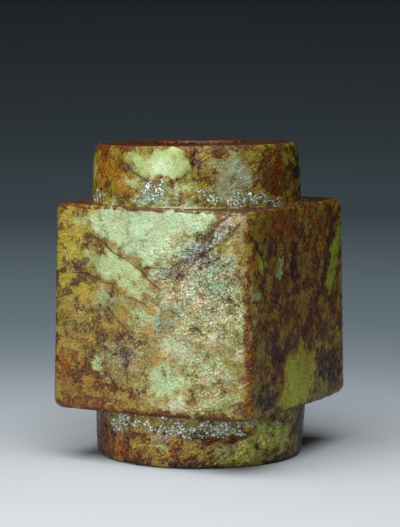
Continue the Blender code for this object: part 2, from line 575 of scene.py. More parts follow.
# %% Points, zones and noise
count = len(mesh.vertices)
spots = np.empty(count * 3)
mesh.vertices.foreach_get("co", spots)
spots = spots.reshape(-1, 3)
normals = np.empty(count * 3)
mesh.vertex_normals.foreach_get("vector", normals)
normals = normals.reshape(-1, 3)
ring_of = np.empty(count, np.int32)
mesh.attributes["ring"].data.foreach_get("value", ring_of)
mesh.attributes.remove(mesh.attributes["ring"])
zone_of = np.array(zones)[ring_of]
spot_vectors = [Vector(spot) for spot in spots]


def lumps(size, seed, octaves=3, stretch=None):
    """Soft noise over the stone, about -1 to 1, with lumps of about this size in millimetres."""
    shift = Vector((17.3, 5.1, 9.7)) * seed
    places = spot_vectors if stretch is None else [Vector(spot) for spot in spots @ stretch]
    return np.array([noise.fractal(place / (size * MM) + shift, 1.0, 2.0, octaves) for place in places])


def smooth(value):
    """0 below 0, 1 above 1, and an S-curve between."""
    value = np.clip(value, 0, 1)
    return value * value * (3 - 2 * value)


DRIFT_REACH = 3.2 * MM
SHIVER_REACH = 1.5 * MM
drift = np.stack([lumps(9, seed) for seed in (1, 2, 3)], axis=1)
shiver = np.stack([lumps(2.6, seed, 2) for seed in (4, 5, 6)], axis=1)
warped = spots + DRIFT_REACH * drift + SHIVER_REACH * shiver
ragged = 0.6 * lumps(4.5, 7) + 0.6 * lumps(1.8, 8)
print("noise runs, about:", round(float(ragged.min()), 2), "to", round(float(ragged.max()), 2))

# %% Places on the stone


def flat_side(across, out):
    """Places on a flat side, in millimetres: u to the right of its middle, z above the ground."""
    across, out = np.array(across), np.array(out)

    def place(u, z):
        return u * MM * across + half_side * out + np.array((0, 0, z * MM)), across, out

    return place


front = flat_side((1, 0, 0), (0, -1, 0))
right = flat_side((0, 1, 0), (1, 0, 0))
back = flat_side((-1, 0, 0), (0, 1, 0))
left = flat_side((0, -1, 0), (-1, 0, 0))


def on_round(middle, radius, bearing, z):
    """A place on a round side. The bearing is in degrees, from the front towards the right."""
    swing = math.radians(bearing)
    out = np.array((math.sin(swing), -math.cos(swing), 0))
    across = np.array((math.cos(swing), math.sin(swing), 0))
    return np.array((middle[0], middle[1], z * MM)) + radius * out, across, out


def collar_at(bearing, z):
    return on_round(collar_middle, collar_radius, bearing, z)


def foot_at(bearing, z):
    return on_round(foot_middle, foot_radius, bearing, z)


FULLY_BENT = 18.0


def inside_oval(place, wide, tall, tilt):
    """1 in the middle of an oval body in the stone, 0 at its skin and less outside. In mm and degrees."""
    point, across, out = place
    bent = min(1.0, max(wide, tall) / FULLY_BENT)
    offset = (spots + bent * (warped - spots) - point) / MM
    sideways = offset @ across
    lean = math.radians(tilt)
    along = sideways * math.cos(lean) + offset[:, 2] * math.sin(lean)
    crosswise = offset[:, 2] * math.cos(lean) - sideways * math.sin(lean)
    depth = offset @ out
    flat = (2 * along / wide) ** 2 + (2 * crosswise / tall) ** 2
    return 1 - np.sqrt(flat + (2 * depth / max(wide, tall)) ** 2)


print("front face, mm from the axis:", round(half_side / MM, 1))

# %% [markdown]
# ## Painting the stone
#
# The jade has layers, and each has its own brush here. A wash changes the colour of the jade body. Iron is
# what soaked in from the ground: it has its own colour, and a cover that says how much of the grain it has
# filled. A vein is a fine dark crack. Salts are the pale crust. The material later sharpens all of them
# with grain far finer than the mesh. Tones have names, and are placed in millimetres on each side.

# %% Tones
MINT = (0.53, 0.69, 0.42)
PALE_GREEN = (0.50, 0.63, 0.31)
MEADOW = (0.44, 0.55, 0.21)
SPRING = (0.68, 0.70, 0.16)
LEAF = (0.44, 0.44, 0.035)
MOSS = (0.30, 0.40, 0.035)
SAGE = (0.40, 0.51, 0.34)
CREAM = (0.70, 0.68, 0.48)
MUSTARD = (0.41, 0.33, 0.05)
STRAW = (0.58, 0.60, 0.36)
OLIVE = (0.27, 0.22, 0.03)
TAN = (0.42, 0.28, 0.09)
AMBER = (0.38, 0.17, 0.015)
BARK = (0.22, 0.13, 0.045)
GRAVEL = (0.28, 0.22, 0.12)
COCOA = (0.14, 0.08, 0.045)
BRONZE = (0.28, 0.16, 0.025)
RUST = (0.25, 0.075, 0.012)
RED_BROWN = (0.13, 0.034, 0.010)
UMBER = (0.10, 0.050, 0.014)
PURPLE_BROWN = (0.085, 0.038, 0.032)
SLATE = (0.15, 0.145, 0.14)
INK = (0.07, 0.065, 0.055)
LILAC = (0.60, 0.64, 0.60)
PINK_GREY = (0.52, 0.45, 0.38)
TEAL = (0.18, 0.31, 0.25)
PINE = (0.035, 0.06, 0.018)
SOOT = (0.03, 0.016, 0.010)

body = np.tile(OLIVE, (count, 1))
stain = np.tile(UMBER, (count, 1))
cover = np.full(count, 0.35)
veins = np.zeros(count)
off_vein = np.full(count, 9.0)
groove = np.zeros(count)
crust = np.zeros(count)
coarse = np.full(count, 0.25)
print("points to paint:", count)

# %% Brushes
VEIN_SPACING = 0.4
VEIN_MARGIN = 1.8
VEIN_DRIFT = 0.7 * MM
VEIN_SHIVER = 0.45 * MM


def reach_of(place, wide, tall, tilt, edge):
    """How much a brush colours each point on its own side. A small edge gives a crisp, ragged outline."""
    facing = smooth((normals @ place[2] - 0.05) / 0.45)
    return facing * smooth((inside_oval(place, wide, tall, tilt) + 0.8 * edge * ragged) / edge)


def wash(place, wide, tall, tone, amount=0.9, tilt=0, edge=0.7, grain=None):
    """Colours the jade body. Grain, where it is given, sets the cover of the stain over it."""
    share = amount * reach_of(place, wide, tall, tilt, edge)
    body[:] += (np.array(tone) - body) * share[:, None]
    if grain is not None:
        cover[:] += (grain - cover) * share


def iron(place, wide, tall, tone, amount=0.6, tilt=0, edge=0.6):
    """Soaks a stain into the grain."""
    share = reach_of(place, wide, tall, tilt, edge)
    stain[:] += (np.array(tone) - stain) * share[:, None]
    cover[:] += (amount - cover) * share


def rough(place, wide, tall, amount=0.8, tilt=0, edge=0.6):
    """Makes the surface coarse and pitted."""
    coarse[:] += (amount - coarse) * reach_of(place, wide, tall, tilt, edge)


def salts(place, wide, tall, amount=0.8, tilt=0, edge=0.6):
    """Lays a pale crust."""
    crust[:] = np.maximum(crust, amount * reach_of(place, wide, tall, tilt, edge))


def vein(side, points, width, strength=1.0, deep=0.22):
    """A dark crack through points on one side, drawn as a smooth curve. Width and depth in millimetres.

    Each point close by keeps how far off the crack it is, counted in widths, and on which side. A mesh
    carries that measure exactly between its points, so the crack can be far thinner than the mesh is fine.
    """
    points = np.array(points, float)
    places = np.array([side(u, z)[0] for u, z in points])
    run = np.concatenate([[0], np.cumsum(np.linalg.norm(np.diff(places, axis=0), axis=1))]) / MM
    even = np.linspace(0, run[-1], max(3, int(run[-1] / VEIN_SPACING)))
    line = np.stack([np.interp(even, run, points[:, 0]), np.interp(even, run, points[:, 1])], axis=1)
    for _ in range(6):
        line[1:-1] = (line[:-2] + line[1:-1] * 2 + line[2:]) / 4
    reach = 0.5 * width + VEIN_MARGIN
    middle = places.mean(axis=0)
    radius = np.linalg.norm(places - middle, axis=1).max() + (reach + 4) * MM
    close = np.flatnonzero(np.linalg.norm(spots - middle, axis=1) < radius)
    wandering = (spots + VEIN_DRIFT * drift + VEIN_SHIVER * shiver)[close]
    nearest = np.full(len(close), np.inf)
    hand = np.ones(len(close))
    for step, (u, z) in enumerate(line):
        here, _, out = side(u, z)
        before, after = side(*line[max(step - 1, 0)])[0], side(*line[min(step + 1, len(line) - 1)])[0]
        across = np.cross(out, after - before)
        offset = wandering - here
        distance = (offset ** 2).sum(axis=1)
        closer = distance < nearest
        nearest[closer] = distance[closer]
        hand[closer] = np.sign(offset[closer] @ across)
    away = np.sqrt(nearest) / MM
    presence = strength * smooth((reach - away) / VEIN_MARGIN * 2)
    stronger = (presence > 0) & (away / width < np.abs(off_vein[close]))
    off_vein[close[stronger]] = (hand * away / width)[stronger]
    veins[close] = np.maximum(veins[close], presence)
    groove[close] = np.maximum(groove[close], deep * np.exp(-(away / (0.6 * width + 0.3)) ** 2))


print("brushes ready")

# %% Front face: jade body
wash(front(-4, 44), 96, 96, TAN, 0.6, grain=0.42)
wash(front(-18, 30), 50, 44, BRONZE, 0.6, grain=0.5)
wash(front(-24, 24), 26, 24, RUST, 0.25)
wash(front(-9, 34), 22, 24, SAGE, 0.3)
iron(front(14, 46), 60, 70, GRAVEL, 0.34)
wash(front(-28, 66), 24, 46, MUSTARD, grain=0.38)
wash(front(-20, 82), 30, 8, MUSTARD, grain=0.35)
wash(front(-23, 55), 24, 10, MUSTARD, grain=0.33)
wash(front(-25, 78), 9, 7, PALE_GREEN, 0.5, grain=0.22)
wash(front(20, 56), 44, 54, STRAW, 0.9, tilt=35, grain=0.24)
wash(front(29, 80), 16, 8, PINK_GREY, 0.35, tilt=-10, grain=0.45)
wash(front(25, 67), 16, 12, SAGE, 0.5, grain=0.25)
wash(front(15, 57), 8, 16, CREAM, 0.8, tilt=70, grain=0.15)
wash(front(-10, 77), 26, 16, MINT, grain=0.05, edge=0.35)
wash(front(8, 78), 34, 14, MINT, grain=0.05, edge=0.35)
wash(front(0, 70), 22, 17, MINT, grain=0.06, edge=0.4)
wash(front(13, 72), 10, 6, MINT, 0.6, tilt=20, grain=0.15)
wash(front(17, 80.5), 16, 6, MINT, grain=0.05, edge=0.4)
wash(front(7, 63), 16, 7, MINT, 0.5, grain=0.2)
wash(front(-12, 64), 22, 9, PALE_GREEN, tilt=-25, grain=0.10, edge=0.4)
wash(front(-20, 66), 10, 7, PALE_GREEN, 0.7, grain=0.2)
wash(front(-4, 58), 12, 6, PALE_GREEN, 0.7, grain=0.2)
wash(front(-10, 51), 26, 14, OLIVE, 0.7, grain=0.45)
wash(front(-13, 53), 18, 8, SAGE, 0.5, grain=0.35)
wash(front(-3, 48), 12, 10, PALE_GREEN, 0.8, tilt=20, grain=0.25)
wash(front(5, 55), 10, 6, SAGE, 0.8, grain=0.2)
wash(front(9, 53), 14, 8, CREAM, 0.6, grain=0.2)
wash(front(10, 41), 24, 16, STRAW, 0.9, grain=0.18)
wash(front(8, 51), 14, 6, SAGE, 0.8, grain=0.15)
wash(front(7, 28), 34, 15, PALE_GREEN, 0.85, grain=0.15, edge=0.9)
wash(front(6, 29), 17, 9, PALE_GREEN, 0.95, grain=0.04, edge=0.9)
wash(front(14, 28.5), 14, 8, MINT, 0.85, grain=0.06, edge=0.9)
wash(front(21, 35), 16, 8, PALE_GREEN, 0.75, grain=0.22)
wash(front(24, 28), 28, 26, STRAW, 0.6, grain=0.32)
wash(front(12, 56), 3, 15, CREAM, 0.8, tilt=-14, grain=0.1)
wash(front(10, 55), 2.2, 12, AMBER, 0.45, tilt=-14)
wash(front(16, 57), 3, 16, SAGE, 0.7, tilt=-16, grain=0.2)
wash(front(19, 59), 3, 14, CREAM, 0.7, tilt=-20, grain=0.15)
wash(front(22, 50), 16, 3, CREAM, 0.6, tilt=35, grain=0.2)
wash(front(28, 45), 14, 3, CREAM, 0.5, tilt=40, grain=0.2)
wash(front(26, 57), 14, 12, SAGE, 0.5, grain=0.3)
wash(front(12, 20), 26, 5, CREAM, 0.8, tilt=4, grain=0.2)
wash(front(13, 63), 9, 4, PINK_GREY, 0.5)
wash(front(7, 47), 14, 4, TEAL, 0.65, tilt=-12, grain=0.2, edge=0.9)
wash(front(8, 45), 8, 3, AMBER, 0.5)
wash(front(12, 68), 14, 6, SAGE, 0.7, tilt=15, grain=0.35)
print("cover runs:", round(float(cover.min()), 2), "to", round(float(cover.max()), 2))

# %% Front face: iron and rough ground
iron(front(-20, 32), 46, 40, COCOA, 0.55)
iron(front(-30, 30), 14, 30, RUST, 0.55)
iron(front(-22, 27), 20, 18, UMBER, 0.65)
iron(front(-13, 24), 20, 14, RED_BROWN, 0.6)
iron(front(-22, 19), 22, 7, RED_BROWN, 0.75)
iron(front(-31, 60), 7, 30, UMBER, 0.5)
iron(front(-10, 38), 20, 16, PURPLE_BROWN, 0.5)
iron(front(-3, 40), 12, 14, COCOA, 0.5)
iron(front(-7, 34), 9, 12, SLATE, 0.6, tilt=-50)
iron(front(-25, 45), 16, 10, COCOA, 0.5)
iron(front(-14, 44), 12, 10, COCOA, 0.55)
iron(front(-25, 52), 14, 8, COCOA, 0.4)
iron(front(-22, 72), 9, 6, PURPLE_BROWN, 1.0, edge=0.5)
iron(front(-28, 64), 9, 5, PURPLE_BROWN, 0.9, tilt=-30)
iron(front(-29, 58.5), 8, 5, PURPLE_BROWN, 0.9)
iron(front(-18, 79), 4, 7, OLIVE, 0.4)
iron(front(-22, 63.5), 4, 5, INK, 0.7)
iron(front(-10, 55), 7, 5, INK, 0.9, edge=0.5)
iron(front(-19, 54), 12, 5, RUST, 0.4)
iron(front(9, 68), 7, 4, SLATE, 0.4)
iron(front(23, 66), 9, 7, BARK, 0.42)
wash(front(10, 63.5), 13, 5, LILAC, 0.7, tilt=20, grain=0.25)
wash(front(18, 69), 14, 6, LILAC, 0.9, tilt=40, grain=0.3, edge=0.4)
wash(front(25, 75.5), 14, 6, LILAC, 0.7, tilt=42, grain=0.35, edge=0.5)
iron(front(20, 71), 26, 9, SLATE, 0.36, tilt=42)
iron(front(22.5, 73.5), 5, 3, SOOT, 0.85, tilt=30)
iron(front(17, 69.5), 3, 2, SOOT, 0.7, tilt=30)
iron(front(26.5, 77), 4, 2, PURPLE_BROWN, 0.7, tilt=30)
iron(front(12, 61.5), 4, 4, SLATE, 0.6)
iron(front(28, 81.5), 14, 3, PURPLE_BROWN, 0.75, tilt=-10)
iron(front(20, 45), 18, 5, SLATE, 0.45, tilt=-15)
iron(front(28, 30), 16, 26, BARK, 0.36)
iron(front(31, 72), 7, 22, BARK, 0.38)
iron(front(4, 39), 6, 4, UMBER, 0.5)
wash(front(-18, 32), 6, 8, PALE_GREEN, 0.85, grain=0.1)
rough(front(20, 56), 40, 50, 0.9, tilt=30)
rough(front(-14, 36), 44, 34, 0.7)
rough(front(22, 28), 30, 24, 0.7)
rough(front(20, 72), 26, 12, 1.0, tilt=38)
rough(front(-4, 76), 46, 14, 0.08)
rough(front(6, 28), 20, 10, 0.2)
rough(front(-10, 66), 22, 10, 0.12, tilt=-25)
print("coarse runs:", round(float(coarse.min()), 2), "to", round(float(coarse.max()), 2))

# %% Front face: veins
vein(front, [(-20, 73), (-16, 70.5), (-12, 67.5), (-7, 65.5), (-3, 63), (0, 60), (4, 58)], 0.9, 0.9)
vein(front, [(0, 63.5), (7, 63.5), (12, 66), (17, 69), (20, 71)], 0.8, 0.7)
vein(front, [(3, 60), (8, 61), (12, 64), (15, 68)], 0.8, 0.7, 0.35)
vein(front, [(16, 66), (20, 69.5), (23, 70.5)], 0.8, 0.8, 0.35)
vein(front, [(19, 72), (22, 74.5), (24, 78), (28, 80.5)], 0.9, 0.8, 0.35)
vein(front, [(24, 71.5), (28, 74), (31, 78)], 0.7, 0.7, 0.3)
vein(front, [(14, 69.5), (18, 70), (20, 74), (23, 76)], 0.6, 0.7, 0.3)
vein(front, [(-27, 61), (-22, 60.5), (-18, 59.5), (-13, 57.5), (-10, 55)], 0.8, 0.7)
vein(front, [(-7, 54.5), (-3, 54), (0, 52)], 0.7, 0.7)
vein(front, [(-14, 50), (-10, 45.5), (-7, 43), (-5, 41)], 1.5, 0.85)
vein(front, [(-9, 38), (-7, 33), (-7, 27)], 1.2, 0.7)
vein(front, [(10, 58), (14, 63), (17, 67)], 0.7, 0.55)
vein(front, [(20, 61), (22, 57), (27, 55.5)], 0.7, 0.5)
vein(front, [(9, 50), (14, 47.5), (19, 44.5)], 0.9, 0.6)
vein(front, [(12, 21), (20, 20), (26, 21), (33, 23)], 0.7, 0.5)
print("points in veins:", int((veins > 0.3).sum()))

# %% Right face: jade body
wash(right(0, 50), 110, 110, BRONZE, 1.0, grain=0.65)
iron(right(0, 50), 110, 110, RED_BROWN, 0.72)
rough(right(0, 50), 96, 96, 0.7)
wash(right(-28, 65), 6, 12, LEAF, grain=0.15)
wash(right(-30.5, 56.5), 8, 4, MEADOW, 0.7, grain=0.2)
wash(right(-14, 63), 9, 7, MEADOW, 0.9, grain=0.1)
# Amber and tan along this face's front edge: orange-brown stone with painted light on it.
wash(right(-33, 68), 7, 16, AMBER, 0.8, grain=0.35)
wash(right(-33, 52), 8, 20, TAN, 0.8, grain=0.25)
wash(right(-24, 76), 18, 8, RUST, 0.8, grain=0.5)
wash(right(-6, 76), 50, 10, RUST, 0.7)
wash(right(1, 77), 8, 6, MEADOW, 0.5, grain=0.3)
wash(right(14, 66), 8, 10, AMBER, 0.8, grain=0.25)
wash(right(5, 64), 14, 12, BRONZE, 0.8, grain=0.3)
wash(right(-33, 48), 6, 5, MEADOW, 0.6, grain=0.25)
wash(right(25.5, 61), 8, 30, MOSS, tilt=-24, grain=0.05, edge=0.4)
wash(right(30, 68), 6, 12, MOSS, 0.9, grain=0.15)
wash(right(-3, 27), 32, 24, LEAF, 0.95, tilt=28, grain=0.08, edge=0.35)
wash(right(-8, 22), 26, 10, LEAF, 0.9, grain=0.12)
wash(right(14, 37), 12, 14, LEAF, 0.6, tilt=40, grain=0.25)
wash(right(17, 23), 8, 10, LEAF, 0.6, grain=0.3)
wash(right(27, 38), 7, 12, LEAF, 0.65, grain=0.3)
wash(right(-28, 37), 14, 14, OLIVE, 0.8, grain=0.4)
wash(right(-28, 31), 6, 7, AMBER, 0.6, grain=0.3)
wash(right(-14, 45), 14, 9, OLIVE, 0.7, grain=0.35)
print("right face washed")

# %% Right face: iron, rough ground and veins
iron(right(-5, 78), 66, 10, RUST, 0.8)
iron(right(-4, 66), 8, 32, SOOT, 0.8)
iron(right(-19, 64), 5, 10, RED_BROWN, 0.6)
iron(right(-20, 69), 8, 6, SOOT, 0.9)
iron(right(-19, 54), 9, 5, SOOT, 0.8)
iron(right(25, 25), 26, 18, SOOT, 0.85)
iron(right(31, 42), 8, 26, RED_BROWN, 0.7)
iron(right(22, 37), 8, 12, RED_BROWN, 0.8)
iron(right(-26, 23), 14, 12, SOOT, 0.97)
iron(right(-16, 36), 12, 6, SOOT, 0.85)
iron(right(11.5, 37.5), 6, 6, PINE, 0.9)
iron(right(-34, 42), 6, 50, RUST, 0.6)
iron(right(24, 79), 20, 7, RED_BROWN, 0.8)
iron(right(12, 27), 12, 5, SOOT, 0.7)
iron(right(4, 52), 24, 12, RED_BROWN, 0.6)
iron(right(-26, 38), 16, 10, UMBER, 0.6)
wash(right(14, 66), 8, 9, AMBER, 0.95, grain=0.15)
wash(right(14, 61), 6, 6, MEADOW, 0.4, grain=0.15)
wash(right(-14, 63), 8, 7, STRAW, 0.5, grain=0.12, edge=1.0)
wash(right(-28, 65), 5, 10, LEAF, 0.9, grain=0.1)
wash(right(-30.5, 56.5), 6, 3.5, MEADOW, 0.7, grain=0.15, edge=1.0)
wash(right(1, 77), 7, 4, MEADOW, 0.5, grain=0.3, edge=1.0)
rough(right(-15, 60), 44, 40, 0.7)
rough(right(26, 27), 26, 24, 0.6)
rough(right(-4, 27), 30, 18, 0.3)
rough(right(26, 60), 9, 28, 0.1, tilt=-24)
NEAR_CRACK = [(-36, 77), (-31, 72), (-27, 69), (-25, 62), (-26, 56), (-30, 53.5), (-36, 55)]
LONG_CRACK = [(28, 76), (24, 71), (21, 63), (18, 56), (13, 51), (8, 46), (2, 41.5), (-4, 38.5), (-12, 36.5),
              (-19, 35)]
for u, z in LONG_CRACK:
    iron(right(u, z), 7, 6, SOOT, 0.85)
for u, z in NEAR_CRACK:
    iron(right(u, z), 3.5, 6, SOOT, 0.8)
vein(right, NEAR_CRACK, 1.0, 0.9, 0.35)
vein(right, [(-25, 55), (-22, 51), (-20, 48), (-20, 43)], 1.0, 0.8)
vein(right, LONG_CRACK, 2.4, 0.95, 0.3)
vein(right, [(26, 51), (20, 50), (15, 46), (12, 41), (10, 37)], 1.3, 0.8)
vein(right, [(-19, 42), (-19, 30), (-20, 18)], 1.4, 0.8)
vein(right, [(32, 70), (30, 60), (25, 53)], 0.8, 0.6)
vein(right, [(6, 26), (12, 27), (18, 31), (24, 33)], 0.9, 0.7)
print("right face stained")

# %% Collar
wash(collar_at(20, 93), 100, 24, OLIVE, 0.8, grain=0.5)
rough(collar_at(20, 93), 110, 26, 0.28)
iron(collar_at(20, 93), 100, 24, RED_BROWN, 0.5)
wash(collar_at(-32, 94), 30, 18, AMBER, 0.95, grain=0.45)
wash(collar_at(-46, 93), 9, 12, AMBER, 0.7, grain=0.3)
wash(collar_at(-46, 91), 8, 6, MUSTARD, 0.4)
wash(collar_at(-14, 89), 14, 10, AMBER, 0.8, grain=0.25)
wash(collar_at(-12, 99), 14, 5, OLIVE, 0.9, grain=0.3)
wash(collar_at(9, 96), 22, 12, MEADOW, 0.95, grain=0.04, edge=0.35)
# Pale green rising to mint at bearing 8: the collar's pale green with a painted highlight in its middle.
wash(collar_at(8, 95.5), 12, 9, PALE_GREEN, 0.9, grain=0.02, edge=1.0)
wash(collar_at(8, 95), 6, 7, MINT, 0.6, grain=0.02, edge=1.0)
wash(collar_at(-6, 98), 14, 8, MEADOW, 0.7, grain=0.15, edge=0.8)
wash(collar_at(-10, 101), 12, 5, MEADOW, 0.6, grain=0.25)
wash(collar_at(-46, 92), 8, 12, MEADOW, 0.45, grain=0.3)
wash(collar_at(20, 88), 12, 5, PALE_GREEN, 0.85, grain=0.15)
wash(collar_at(-6, 89), 14, 5, PALE_GREEN, 0.6, grain=0.2)
wash(collar_at(46, 92), 22, 18, SAGE, 0.6, grain=0.4, edge=0.9)
wash(collar_at(90, 95), 12, 12, OLIVE, 0.8, grain=0.45)
iron(collar_at(-33, 95), 16, 8, RUST, 0.55)
iron(collar_at(-33, 89), 24, 4, RED_BROWN, 0.55)
iron(collar_at(-32, 97), 16, 5, RED_BROWN, 0.45)
# Umber at the collar's left edge: dark iron, with painted shade where the collar turns away.
iron(collar_at(-60, 93), 10, 20, UMBER, 0.85)
iron(collar_at(-8, 95.5), 5, 4, SLATE, 0.7)
iron(collar_at(29, 94), 8, 16, RED_BROWN, 0.75)
iron(collar_at(27, 97), 5, 9, PURPLE_BROWN, 0.85)
iron(collar_at(34, 95), 3, 10, SLATE, 0.6)
iron(collar_at(76, 94), 24, 20, RED_BROWN, 0.9)
iron(collar_at(35, 101), 20, 4, SOOT, 0.85)
iron(collar_at(70, 93), 6, 16, UMBER, 0.9)
# Soot at the collar's right edge: dark iron, with painted shade where the collar turns away.
iron(collar_at(104, 95), 24, 24, SOOT, 0.8)
iron(collar_at(-20, 98), 20, 5, RUST, 0.4)
wash(collar_at(5, 86.5), 12, 5, TEAL, 0.9, grain=0.1)
wash(collar_at(0, 85), 24, 3, MINT, 0.8, grain=0.15)
salts(collar_at(6, 88), 15, 8, 0.95)
salts(collar_at(38, 86), 18, 6, 1.0)
salts(collar_at(56, 86), 26, 6, 1.0)
salts(collar_at(0, 85), 30, 2.5, 0.85)
salts(collar_at(24, 85), 30, 2.5, 0.7)
salts(collar_at(68, 85), 14, 3, 0.7)
wash(collar_at(50, 90), 16, 14, SAGE, 0.4, grain=0.38)
iron(collar_at(50, 92), 16, 16, GRAVEL, 0.4)
salts(collar_at(45, 93), 18, 16, 0.5)
salts(collar_at(-40, 86), 20, 5, 0.9)
salts(collar_at(20, 84.5), 60, 3, 0.5)
salts(collar_at(77, 85), 12, 3.5, 0.85)
rough(collar_at(45, 93), 22, 20, 0.12)
rough(collar_at(-32, 93), 24, 14, 0.5)
rough(collar_at(7, 96), 28, 14, 0.0, edge=0.3)
vein(collar_at, [(-14, 96), (-8, 93.5), (-2, 91.5), (4, 89.5), (10, 88.5), (16, 90), (22, 92.5)], 0.8, 0.8)
vein(collar_at, [(28, 101.5), (27, 98), (26, 95)], 1.0, 1.0, 0.45)
vein(collar_at, [(-22, 100), (-15, 95), (-10, 91)], 0.6, 0.5)
print("collar painted")

# %% Foot
wash(foot_at(-60, 8), 110, 22, RED_BROWN, 0.9, grain=0.8)
wash(foot_at(20, 8), 110, 22, TAN, 0.8, grain=0.5)
iron(foot_at(20, 8), 110, 22, RED_BROWN, 0.62)
rough(foot_at(20, 8), 120, 24, 0.85)
wash(foot_at(-28, 6), 34, 14, RUST, 0.85, grain=0.65)
wash(foot_at(-20, 5), 10, 5, AMBER, 0.8, grain=0.35)
wash(foot_at(10, 5.5), 32, 8, BRONZE, 0.75, grain=0.5)
wash(foot_at(30, 5), 20, 6, MUSTARD, 0.8, grain=0.3)
wash(foot_at(4, 6), 20, 4, MUSTARD, 0.6, grain=0.35)
wash(foot_at(5, 7), 7, 3, PALE_GREEN, 0.7, grain=0.15)
wash(foot_at(-10, 6), 6, 3, LEAF, 0.7, grain=0.15)
wash(foot_at(5, 11), 14, 3, PINK_GREY, 0.6, grain=0.4)
wash(foot_at(62, 8), 26, 16, SPRING, 0.9, grain=0.12)
wash(foot_at(50, 4), 16, 10, SPRING, 0.8, grain=0.1)
wash(foot_at(42, 6), 10, 8, STRAW, 0.6, grain=0.25)
wash(foot_at(78, 9), 14, 14, SPRING, 0.9, grain=0.08)
wash(foot_at(102, 8), 16, 18, OLIVE, 0.9, grain=0.8)
# Soot at the foot's right edge: painted shade where the foot turns away.
iron(foot_at(106, 8), 20, 24, SOOT, 0.95)
iron(foot_at(-30, 9), 26, 6, RED_BROWN, 0.7)
iron(foot_at(-42, 9), 20, 16, UMBER, 0.95)
iron(foot_at(-52, 8), 30, 24, UMBER, 1.0)
# Soot at the foot's left edge: painted shadow of the body over the foot.
iron(foot_at(-66, 8), 34, 30, SOOT, 1.0)
iron(foot_at(-25, 13), 14, 3, BARK, 0.5)
wash(foot_at(-66, 8), 40, 30, RED_BROWN, 0.9)
iron(foot_at(-36, 9), 12, 12, RED_BROWN, 0.9)
iron(foot_at(-25, 1.5), 44, 4, RED_BROWN, 0.9)
iron(foot_at(-32, 10), 16, 6, SOOT, 0.7)
iron(foot_at(-14, 4), 16, 5, RED_BROWN, 0.6)
iron(foot_at(8, 10), 12, 2.5, PURPLE_BROWN, 0.5)
iron(foot_at(42, 9), 10, 8, RED_BROWN, 0.6)
iron(foot_at(55, 9), 3, 6, PINE, 0.5)
iron(foot_at(25, 9), 8, 3, UMBER, 0.85)
iron(foot_at(12, 1), 44, 3, RED_BROWN, 0.85)
iron(foot_at(84, 5), 10, 7, RED_BROWN, 0.6)
salts(foot_at(-20, 14), 20, 6, 1.0)
salts(foot_at(-36, 14), 10, 2.5, 0.5)
salts(foot_at(38, 13.5), 34, 8, 1.0)
salts(foot_at(18, 13.8), 26, 7, 1.0)
salts(foot_at(0, 14.5), 22, 4, 0.9)
salts(foot_at(62, 13), 10, 4, 0.9)
salts(foot_at(78, 13.5), 12, 4, 0.9)
iron(foot_at(30, 13), 40, 7, SOOT, 0.75)
rough(foot_at(30, 12), 40, 8, 0.9)
print("foot painted")

# %% [markdown]
# ## Sides the photographer did not show
#
# The same stone goes on round the back. Its clouds and veins are drawn at random from a fixed seed, with
# the tones of the front, so they are in keeping and plainer. The rim, the shoulders, the underside and the
# bore are then painted: iron gathers on every worn edge, and salts gather in every inner corner. Painted
# shade darkens the bore, the rim and the right side of the shoulders along with their iron, and the foot
# along the ground.

# %% Back and left sides
CLOUDS_A_SIDE = 9
BODY_TONES = [MUSTARD, PALE_GREEN, CREAM, OLIVE, LEAF, TAN, SAGE]
IRON_TONES = [UMBER, RED_BROWN, RUST, PURPLE_BROWN]
chance = random.Random(11)
draw = chance.uniform
for side in (back, left):
    wash(side(0, 50), 80, 90, OLIVE, 0.8, grain=0.42)
    for _ in range(CLOUDS_A_SIDE):
        wash(side(draw(-30, 30), draw(20, 80)), draw(10, 30), draw(8, 22),
             chance.choice(BODY_TONES), 0.85, tilt=draw(-50, 50), grain=draw(0.08, 0.35))
        iron(side(draw(-32, 32), draw(18, 82)), draw(8, 24), draw(6, 14),
             chance.choice(IRON_TONES), draw(0.45, 0.75), tilt=draw(-50, 50))
        rough(side(draw(-30, 30), draw(20, 80)), 20, 14, draw(0.1, 0.9))
    for _ in range(3):
        start_u, start_z = draw(-34, 0), draw(25, 75)
        slant = draw(-0.8, 0.8)
        vein(side, [(start_u + run, start_z + slant * run + draw(-2, 2)) for run in range(0, 36, 6)],
             draw(0.8, 1.6), 0.8)
for bearing in range(120, 270, 20):
    wash(collar_at(bearing, draw(88, 98)), 16, 12, chance.choice(BODY_TONES), 0.8, grain=0.3)
    iron(collar_at(bearing + 9, draw(88, 98)), 10, 10, chance.choice(IRON_TONES), 0.55)
    salts(collar_at(bearing + draw(-9, 9), 85), 12, 3.5, draw(0.3, 0.8))
    wash(foot_at(bearing, draw(4, 12)), 16, 9, chance.choice(BODY_TONES), 0.8, grain=0.3)
    iron(foot_at(bearing + 9, draw(4, 12)), 10, 8, chance.choice(IRON_TONES), 0.55)
    salts(foot_at(bearing + draw(-9, 9), 14), 12, 3.5, draw(0.3, 0.8))
print("hidden sides painted")

# %% Edges, ends and bore


def soak(share, tone, amount):
    """Iron over any measured share of the surface, from 0 to 1."""
    stain[:] += (np.array(tone) - stain) * share[:, None]
    cover[:] += (amount - cover) * share


def near(distance, reach, surplus, raggedness=0.5):
    """1 at an edge and 0 away from it, with a ragged border. A surplus over 1 makes a full band."""
    return smooth(surplus - distance / reach + raggedness * ragged)


